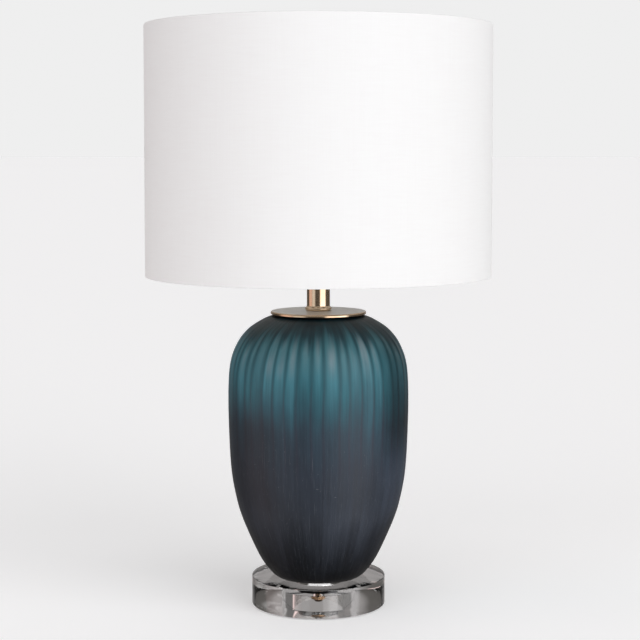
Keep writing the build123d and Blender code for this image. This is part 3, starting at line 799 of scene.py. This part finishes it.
# ---- socket
# The usual two-part lampholder: a spun cap screwed on the pipe and locked by a side screw, and a thin
# shell with a beaded mouth. Inside are a fibre sleeve, a porcelain block and the threaded screw shell.
socket_low, socket_cap_high = levels("socket_cap")
cup = turned(
    "socket_cup",
    [
        (nut_bore, socket_low, 0.2),
        (8.5, socket_low, 0.5),
        (8.5, socket_low + 7, 2),
        (16.9, socket_low + 13.5, 3),
        (16.9, socket_cap_high, 0.2),
        (16.3, socket_cap_high, 0.2),
        (16.3, socket_low + 14, 2.4),
        (8.5, socket_low + 9, 1),
        (nut_bore, socket_low + 9, 0.2),
    ],
    128,
    steps=8,
)
screw_height = socket_low + 3.4
screw_drill = drill(1.6, 5, 12, lying(screw_height, 90, "Y"))
fit(bored(cup, screw_drill), antique_brass, "stand", "antique_brass", "socket_cap")
softened("side_screw", "set_screw", 0.1, zinc, "stand", "zinc_steel")

shell_low, shell_high = levels("socket_shell")
switch_height = socket_low + 33
can_radius = 16.1
shell_outside = [
    (can_radius - 0.5, shell_low, 0.1),
    (can_radius, shell_low, 0.2),
    (can_radius, shell_high - 18, 0.4),
    (16.5, shell_high - 17.2, 0.5),
    (can_radius, shell_high - 16.4, 0.4),
    (can_radius, shell_high - 5, 1),
    (16.9, shell_high - 3.6, 0.7),
    (16.9, shell_high - 2, 0.7),
    (can_radius, shell_high - 0.6, 0.5),
    (can_radius, shell_high, 0.15),
    (can_radius - 0.5, shell_high, 0.15),
]
shell = turned("socket_can", shell_outside, 128, steps=6)
towards_front = lying(switch_height, 90)
stem_hole = 3.2
shell = bored(shell, drill(stem_hole, 8, 24, towards_front))
fit(shell, antique_brass, "stand", "antique_brass", "socket_shell")

fibres = clouded((122, 88, 58), (158, 122, 84), (500, 500, 2600), 4.0, 0.62, 0.2)
fibre = material("fibre_board", {}, fibres)
lining = ring("fibre_sleeve", "insulating_sleeve", 14.8, 15.5, 0.1, 0.1)
lining = bored(lining, drill(stem_hole, 8, 24, towards_front))
fit(lining, fibre, "stand", "fibre", "insulating_sleeve")


def porcelain_pattern(shader):
    speck = shader.noise(1500, 2.0).step(0.66, 0.8)
    colour = shader.mix(speck * 0.4, tone(234, 231, 222), tone(186, 176, 160))
    return {"Base Color": colour, "Roughness": speck * 0.2 + 0.3}


porcelain = material("socket_porcelain", {}, porcelain_pattern)
softened("socket_block", "socket_insulator", 0.3, porcelain, "stand", "socket_porcelain")
softened("terminals", "terminal_screws", 0.25, brass, "stand", "plain_brass")
softened("contact_strip", "centre_contact", 0.08, brass, "stand", "plain_brass")

thread_pitch = 25.4 / 7  # seven turns to the inch, as every medium bulb has
thread_depth = 0.5
thread_foot, thread_mouth = levels("screw_shell")


def rolled_thread(low, high, depth, outermost):
    """A rolled thread: the wall is pressed by a cosine of the height less a pitch for each turn, inwards
    if its radius is the outermost one and outwards if not, and the thread fades out at its ends."""

    def relief(angle, radius, height):
        turns = height / thread_pitch - angle / (2 * np.pi)
        fade = np.clip(np.minimum(height - low, high - height) / 2, 0, 1)
        wave = np.cos(2 * np.pi * turns) - 1 if outermost else np.cos(2 * np.pi * turns) + 1
        return wave / 2 * depth * fade

    return relief


def tube_wall(inner, outer, low, high, count):
    """The outline of a thin tube whose walls have many points, so that they can be threaded."""
    rise = np.linspace(low, high, count)
    out = np.column_stack([0 * rise + outer, rise])
    back = np.column_stack([0 * rise + inner, rise])[::-1]
    return np.vstack([out, back])


screw_shell = turned(
    "threaded_shell",
    tube_wall(13.3, 13.7, thread_foot, thread_mouth, 64),
    96,
    relief=rolled_thread(thread_foot + 2, thread_mouth - 1, thread_depth, False),
)
fit(screw_shell, brass, "stand", "plain_brass", "screw_shell")

# ---- switch
# A brass spindle comes out of the socket's side towards the front, with a black moulded knob that has
# finger flutes round it and a shallow dish in its end.
spindle = turned(
    "switch_stem",
    [(0, 4.6, 0), (2.2, 4.6, 0.2), (2.2, 27, 0.4), (0, 27, 0)],
    48,
    place=towards_front,
)
fit(spindle, brass, "switch", "plain_brass", "switch_spindle")


def finger_flutes(angle, radius, height):
    """Eight scallops round the knob, a cosine squared deep, left off its front rim and its bore."""
    outer = np.clip((radius - 3.2) / 0.6, 0, 1) * np.clip((34 - height) / 3, 0, 1)
    return -0.75 * np.cos(4 * angle) ** 2 * outer


knob_rows = np.linspace(20, 34, 15)
knob_outline = np.vstack(
    [
        [(2.23, 27), (2.23, 19.3)],
        [(2.5, 19), (4, 19), (4.5, 19.3)],
        np.column_stack([np.linspace(4.6, 3.9, 15), knob_rows]),
        [(3.6, 34.7), (3.1, 35), (2.4, 34.8), (0, 34.3), (0, 27)],
    ]
)
knob = turned("switch_key", knob_outline, relief=finger_flutes, place=towards_front)
fit(knob, black_plastic, "switch", "black_plastic", "switch_knob")

# ---- bulb
# A frosted A19 bulb: blown glass coated white inside, cemented into a rolled aluminium screw cap with a
# black glass insulator and a solder spot at its foot.
spot_low, spot_high = levels("bulb_contact")
spot = turned(
    "solder_spot",
    [(0, spot_low, 0), (4.6, spot_low + 0.2, 1.2), (4.6, spot_high, 0.2), (0, spot_high, 0)],
    48,
)
fit(spot, zinc, "bulb", "plain_brass", "bulb_contact")
black_low, black_high = levels("bulb_insulator")
insulator = turned(
    "cap_insulator",
    [(0, black_low, 0), (5.6, black_low, 0.3), (11.2, black_high, 0.3), (0, black_high, 0)],
    72,
)
fit(insulator, black_plastic, "bulb", "black_plastic", "bulb_insulator")

scuffs = clouded((196, 197, 199), (226, 226, 226), (60, 900), 3.0, 0.18, 0.2, around=True)
aluminium = material("bulb_aluminium", {"Metallic": 1.0}, scuffs)
bulb_cap_low, bulb_cap_high = levels("bulb_cap")
cap_wall = tube_wall(12.5, 13, bulb_cap_low + 1, bulb_cap_high, 72)
cap_end = [(0, bulb_cap_low), (12.1, bulb_cap_low)]
cap_outline = np.vstack([cap_end, cap_wall, [(0, bulb_cap_low + 1)]])
cap_thread = rolled_thread(bulb_cap_low + 1, bulb_cap_high - 3, 0.9, True)


def cap_relief(angle, radius, height):
    """The bulb's thread, on the outside wall of its cap only."""
    return np.where(radius > 12.4, cap_thread(angle, radius, height), 0)


fit(turned("bulb_screw_cap", cap_outline, relief=cap_relief), aluminium, "bulb", "bulb_metal", "bulb_cap")

coating = clouded((240, 239, 235), (248, 248, 246), 90, 3.0, 0.28, 0.1)
frosted = material("frosted_bulb", {"Coat Weight": 0.4, "Coat Roughness": 0.08}, coating)
globe_low, globe_high = levels("bulb_globe")
globe_radius = 30
globe_outside = np.array(
    [
        (13.4, globe_low),
        (13.9, globe_low + 5),
        (15.4, globe_low + 10),
        (20.4, globe_low + 21),
        (25.7, globe_low + 32),
        (29.2, globe_low + 43),
        (globe_radius, globe_high - globe_radius),
        (27.7, globe_high - 18.5),
        (21.2, globe_high - 8.8),
        (11.2, globe_high - 2.1),
        (0, globe_high),
    ]
)
globe_curve = through(globe_outside, 64)
globe_curve[-1, 0] = 0
globe_inner = globe_curve[::-4] * [(globe_radius - 0.9) / globe_radius, 1] - [0, 0.9]
globe_inner[-1, 1] = globe_low
globe = turned("bulb_glass_globe", np.vstack([globe_curve, globe_inner]))
fit(globe, frosted, "bulb", "bulb_glass", "bulb_globe")

# ---- harp
# A loop of 4.8 mm brass-plated wire bent by hand on a former, with its legs standing on the saddle. Its
# forged eye carries a swivelling threaded stud for the shade, and two brass sleeves lock the legs.
harp_low, harp_high = levels("harp_frame")
leg_radius = 2.4
leg_place = 30
sleeve_place = 29
bow = harp_high - leg_radius
half_width = 57


def bent(corners, radii, arc_steps=12):
    """Straight runs joined by arcs, in one plane. Each arc leaves its corner's first side where
    radius times tan(half the turn) is left to go, and swings about a centre square to it."""
    points = [np.array(corners[0], float)]
    for before, here, after, radius in zip(corners, corners[1:], corners[2:], radii):
        before, here, after = np.array(before), np.array(here), np.array(after)
        along = (here - before) / np.linalg.norm(here - before)
        leaving = (after - here) / np.linalg.norm(after - here)
        bend = np.arctan2(along[0] * leaving[1] - along[1] * leaving[0], along @ leaving)
        start = here - along * radius * np.tan(abs(bend) / 2)
        square_to = np.array([-along[1], along[0]]) * np.sign(bend)
        swing = np.linspace(0, abs(bend), arc_steps)[:, None]
        points.extend(start + radius * (np.sin(swing) * along + (1 - np.cos(swing)) * square_to))
    points.append(np.array(corners[-1], float))
    return np.array(points)


def wire(name, path, radius, turn=0.0, sides=20):
    """A round wire along a path of (distance from the axis, height) in the upright plane at this turn
    from +X. Each ring stands square to the path, and the ends shrink to a point over a half circle."""
    ahead = np.gradient(path, axis=0)
    ahead /= np.linalg.norm(ahead, axis=1, keepdims=True)
    end = np.linspace(0, np.pi / 2, 5)[:, None]
    first = path[0] - radius * 0.4 * np.cos(end) * ahead[0]
    final = path[-1] + radius * 0.4 * np.sin(end) * ahead[-1]
    line = np.vstack([first, path[1:-1], final])
    thick = np.concatenate([np.sin(end[:, 0]), np.ones(len(path) - 2), np.cos(end[:, 0])]) * radius
    heading = np.vstack([np.repeat(ahead[:1], 5, 0), ahead[1:-1], np.repeat(ahead[-1:], 5, 0)])
    out, across = np.array([np.cos(turn), np.sin(turn), 0]), np.array([-np.sin(turn), np.cos(turn), 0])
    upright = heading[:, :1] * [0, 0, 1] - heading[:, 1:] * out
    middle = line[:, :1] * out + line[:, 1:] * [0, 0, 1]
    around = np.linspace(0, 2 * np.pi, sides, endpoint=False)[None, :, None]
    round_wire = np.cos(around) * across - np.sin(around) * upright[:, None]
    grid = middle[:, None] + thick[:, None, None] * round_wire
    return tidy(skin(name, grid, closed=False))


right_leg = [
    (leg_place, harp_low),
    (leg_place, harp_low + 44),
    (half_width, harp_low + 95),
    (half_width, bow - 78),
    (20, bow),
]
left_leg = [(-out, height) for out, height in right_leg[::-1]]
leg_bends = [40, 60, 70, 14]
harp = wire("harp_loop", bent(right_leg + left_leg, leg_bends + leg_bends[::-1]), leg_radius)
fit(harp, antique_brass, "harp", "antique_brass", "harp_frame")
eye = turned(
    "harp_eye",
    [
        (3.15, bow - leg_radius, 0.2),
        (7, bow - leg_radius, 0.9),
        (7, bow + leg_radius, 0.9),
        (3.15, bow + leg_radius, 0.2),
    ],
    72,
)
fit(eye, antique_brass, "harp", "antique_brass", "harp_frame")

stud_low, stud_high = levels("harp_stud")
collar_high = levels("spider_hub")[0] - 0.3
stud_radius = 3.1
stud_pitch = 25.4 / 27
stud_rows = np.arange(collar_high + 2, stud_high - 0.7, stud_pitch / 6)


def stud_thread(angle, radius, height):
    """A fine 60 degree thread cut into the top of the stud."""
    turns = height / stud_pitch - angle / (2 * np.pi)
    groove = 2 * np.abs(turns % 1 - 0.5)
    inside = np.minimum(height - collar_high - 2, stud_high - height)
    cut = np.clip(inside / stud_pitch, 0, 1)
    return np.where(radius > 3, -0.45 * groove * cut, 0) * (height > collar_high + 1)


stud_outline = np.vstack(
    [
        rounded(
            [
                (0, stud_low, 0),
                (4.8, stud_low, 0.9),
                (4.8, stud_low + 1.4, 0.2),
                (stud_radius, stud_low + 1.4, 0.1),
                (stud_radius, bow + leg_radius, 0.1),
                (9, bow + leg_radius, 0.2),
                (9, collar_high, 0.3),
                (stud_radius, collar_high, 0.2),
                (stud_radius, collar_high + 1.5, 0),
            ]
        )[:-5],
        np.column_stack([np.full(len(stud_rows), stud_radius), stud_rows]),
        [(2.5, stud_high), (0, stud_high)],
    ]
)
fit(turned("shade_stud", stud_outline, 60, relief=stud_thread), brass, "harp", "antique_brass", "harp_stud")

# Radius, distance from the nearer end, and cut, from an end to the middle.
ferrule_end = [(4.3, 0, 0.2), (5, 0, 0.3), (5, 1.6, 0.4), (4.8, 2.2, 0.3)]
for side, body_name in ((-1, "sleeve_left"), (1, "sleeve_right")):
    sleeve_node = "harp_" + body_name
    bottom, top = levels(sleeve_node)
    lower = [(radius, bottom + rise, cut) for radius, rise, cut in ferrule_end]
    upper = [(radius, top - rise, cut) for radius, rise, cut in ferrule_end[::-1]]
    where = Matrix.Translation((side * sleeve_place * mm, 0, 0))
    ferrule = turned("leg_ferrule_" + body_name[7:], lower + upper, 60, place=where)
    fit(ferrule, antique_brass, body_name, "antique_brass", sleeve_node)

# ---- shade frame
# White-enamelled steel: a washer-shaped hub, three arms of 3.2 mm wire welded from it up to the top
# ring, and a second ring at the bottom. The hub drops over the harp's stud.
shade_radius = 203
ring_wire = 1.6
ring_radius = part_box("shade_top_ring")[1].x / mm - ring_wire


def enamel_pattern(shader):
    peel = shader.noise(900, 2.0)
    return {"Roughness": peel * 0.1 + 0.25, "Normal": shader.bump(peel, 0.02 * mm)}


enamel = material("white_enamel", {"Base Color": tone(240, 239, 236), "Coat Weight": 0.3}, enamel_pattern)
hub = ring("hub_washer", "spider_hub", 5.6, 14, 0.3, 0.5, 96)
fit(hub, enamel, "shade", "white_enamel", "spider_hub")
arm_height = levels("spider_hub")[0] + 0.9
arm_end = sum(levels("shade_top_ring")) / 2 - 1
arm_path = bent([(11, arm_height), (ring_radius, arm_height), (ring_radius, arm_end)], [6])
for number, turn in enumerate(np.radians([90, 210, 330])):
    arm = wire(f"spider_arm_{number + 1}", arm_path, ring_wire, turn)
    fit(arm, enamel, "shade", "white_enamel", "spider_arms")

section = np.linspace(-np.pi / 2, 1.5 * np.pi, 24, endpoint=False)
for name, node in (("top_wire_ring", "shade_top_ring"), ("bottom_wire_ring", "shade_bottom_ring")):
    level = sum(levels(node)) / 2
    circle = [ring_radius, level] + ring_wire * np.column_stack([np.cos(section), np.sin(section)])
    fit(turned(name, circle, 288), enamel, "shade", "white_enamel", node)

# ---- shade liner and cloth
# The drum is white cloth laminated to 0.8 mm styrene, rolled round the two rings with a glued overlap
# at the back, and the cloth's edges are turned in over the rings.
liner_radius = shade_radius - 0.55
liner_wall = 0.8
back_seam = np.pi


def overlap(width, thickness):
    """The glued overlap: the wall steps out by its own thickness over this width at the back, steeply
    at the cut edge and gently at the other side."""
    steep, gentle = 1, 4

    def relief(angle, radius, height):
        across = (angle - back_seam) * radius
        lap = np.clip((width / 2 + across) / steep, 0, 1) * np.clip((width / 2 - across) / gentle, 0, 1)
        return lap * thickness

    return relief


mottle = clouded((238, 236, 231), (246, 245, 241), 30, 3.0, 0.38, 0.12)
styrene = material("white_styrene", {}, mottle)
liner = ring("drum_liner", "shade_liner", liner_radius - liner_wall, liner_radius, 0.15, 0.15, 360, steps=3)
fit(liner, styrene, "shade", "shade_lining", "shade_liner")


def cloth_pattern(shader):
    """A plain weave of slightly uneven yarn, 18 threads to the centimetre, on the cloth's own map."""
    flat = shader.node("UVMap", {"uv_map": "cloth"})
    along = shader.node("SeparateXYZ", {}, {0: flat}, output=0)
    up = shader.node("SeparateXYZ", {}, {0: flat}, output=1)
    thread = 1800 * np.pi  # half a turn of the sine for each thread
    slub = shader.noise((8, 700), 2.0, around=True) * 0.5 + shader.noise((260, 12), 2.0, around=True) * 0.5
    weft, warp = (up * thread).wave(), (along * thread).wave()
    weave = weft * warp + (1 - weft) * (1 - warp)
    colour = shader.mix(slub.step(0.2, 0.8), tone(240, 239, 238), tone(243, 243, 242))
    normal = shader.bump(weave + slub * 0.5, 0.012 * mm)
    return {"Base Color": colour, "Roughness": slub * 0.1 + 0.82, "Normal": normal}


shade_cloth = material("white_shade_cloth", {"Specular IOR Level": 0.2}, cloth_pattern)
bottom, top = levels("shade_fabric")
hem = ring_radius - ring_wire - 0.7
hem_depth = 3.4
cloth = 0.5
drum = turned(
    "drum_cloth",
    [
        (hem, bottom + hem_depth, 0.1),
        (hem, bottom, 1.3),
        (shade_radius, bottom, 1.3),
        (shade_radius, top, 1.3),
        (hem, top, 1.3),
        (hem, top - hem_depth, 0.1),
        (hem + cloth, top - hem_depth, 0.1),
        (hem + cloth, top - cloth, 0.8),
        (shade_radius - cloth, top - cloth, 0.8),
        (shade_radius - cloth, bottom + cloth, 0.8),
        (hem + cloth, bottom + cloth, 0.8),
        (hem + cloth, bottom + hem_depth, 0.1),
    ],
    720,
    relief=overlap(12, 0.4),
)
fit(drum, shade_cloth, "shade", "shade_cloth", "shade_fabric")

# ---- finial
# A turned brass ball on a waisted foot, which screws down on the stud and holds the shade's hub.
finial_low = levels("finial")[0]
ball_radius = 7.6
ball_height = finial_low + 14.4
waist_radius = 4.4
swing = np.linspace(np.pi - np.arcsin(waist_radius / ball_radius), 0, 24)
ball = np.column_stack([ball_radius * np.sin(swing), ball_height + ball_radius * np.cos(swing)])
foot = rounded(
    [
        (3.2, finial_low, 0.3),
        (8.6, finial_low, 0.4),
        (8.6, finial_low + 1.6, 0.6),
        (5.2, finial_low + 3.2, 1.6),
        (waist_radius, ball[0, 1], 1.2),
        (0, ball[0, 1], 0),
    ],
    6,
)[:-6]
bore = [(0, finial_low + 15), (3.2, finial_low + 14)]
ball[-1, 0] = 0
finial = turned("ball_finial", np.vstack([foot, ball[1:], bore]))
fit(finial, antique_brass, "finial", "antique_brass", "finial")

# ---- studio
# A pale floor, and the soft boxes and walls of a small studio drawn into the world by direction.
floor_mesh = bpy.data.meshes.new("floor")
floor_mesh.from_pydata([(-400, -400, 0), (400, -400, 0), (400, 400, 0), (-400, 400, 0)], [], [(0, 1, 2, 3)])
floor = placed("floor", floor_mesh)
paper = {"Base Color": (0.9, 0.9, 0.9, 1), "Roughness": 1.0, "Specular IOR Level": 0.0}
paper |= {"Emission Color": (1, 1, 1, 1), "Emission Strength": 0.3}
floor.visible_glossy = False  # metal and clear acrylic show the studio instead, as over a small table
floor.visible_transmission = False
floor_mesh.materials.append(material("pale_floor", paper))

world = bpy.data.worlds.new("studio")
bpy.context.scene.world = world
world.use_nodes = True
studio = Shader(world.node_tree)
towards = studio.node("TexCoord", output="Generated")
east, north, up = (studio.node("SeparateXYZ", {}, {0: towards}, output=k) for k in range(3))
turn = east.math("ARCTAN2", east, 0 - north) * (180 / np.pi)  # 0 to the front, 90 to the right
rise = up.math("ARCSINE", up) * (180 / np.pi)


def panel(left, right, low, high, edge=5):
    """How much of a soft box lies in this direction, its edges fading over a few degrees."""
    across = turn.step(left - edge, left + edge) * (1 - turn.step(right - edge, right + edge))
    return across * rise.step(low - edge, low + edge) * (1 - rise.step(high - edge, high + edge))


behind = turn.math("ABSOLUTE", turn).step(140, 155)
light = studio.mix(behind, (0.12, 0.115, 0.11, 1), (0.34, 0.33, 0.33, 1))
for box, colour in (
    (panel(-48, 60, 14, 62, 7), (1.12, 1.12, 1.14, 1)),
    (panel(18, 74, -40, 40), (2.6, 2.6, 2.65, 1)),
    (panel(-64, -33, -40, 38), (1.0, 1.04, 1.1, 1)),
    (panel(-102, -66, -40, 38), (1.05, 0.82, 0.8, 1)),
    (rise.step(60, 72), (0.7, 0.71, 0.71, 1)),
):
    light = studio.mix(box, light, colour)
shown = studio.node("LightPath", output="Is Camera Ray")
light = studio.mix(shown, light, (0.862, 0.862, 0.862, 1))
world.node_tree.links.new(light.socket, world.node_tree.nodes["Background"].inputs["Color"])

bpy.context.scene.view_settings.view_transform = "Standard"

camera = placed("camera", bpy.data.cameras.new("camera"))
camera.location = (1.9 * mm, -1.95, 0.5313)
camera.rotation_euler = (np.radians(90 - 3.47), 0, 0)
camera.data.lens = 93.4
camera.data.sensor_width = 36
camera.data.shift_y = -0.1
bpy.context.scene.camera = camera
